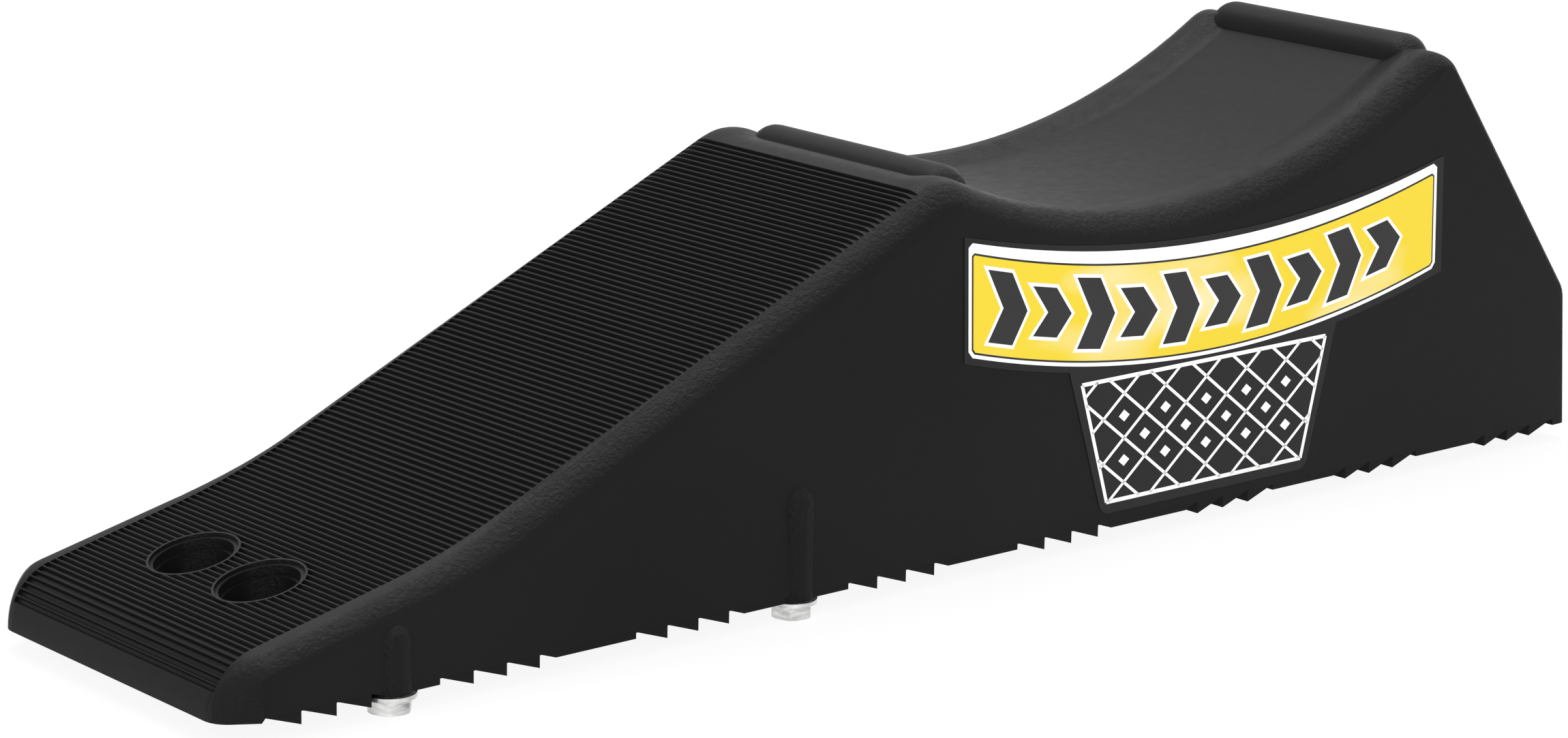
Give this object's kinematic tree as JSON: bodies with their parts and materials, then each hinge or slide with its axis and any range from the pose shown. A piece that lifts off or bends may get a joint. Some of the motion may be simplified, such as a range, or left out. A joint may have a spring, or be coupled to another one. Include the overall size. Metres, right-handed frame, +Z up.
{
  "type": "tandem trailer ramp",
  "caption": "Black moulded drive-on ramp for a tandem-axle trailer: ribbed slope, dished wheel saddle between stop bars, toothed skirts, hexagon traction bolts and a printed side label.",
  "frame": {"origin": "middle of the footprint, level with the undersides of the bolt heads", "axes": "+X from the low nose to the tall rear end, +Z up, the labelled side facing -Y"},
  "size_m": [0.6041, 0.143, 0.1592],
  "materials": {
    "moulded_plastic": "satin",
    "plated_steel": "bright",
    "printed_film": "satin"
  },
  "bodies": {
    "root": {"ramp_body": "moulded_plastic", "traction_bolt_front_left": "plated_steel", "traction_bolt_front_right": "plated_steel", "traction_bolt_middle_left": "plated_steel", "traction_bolt_middle_right": "plated_steel", "side_label": "printed_film"}
  },
  "joints": []
}
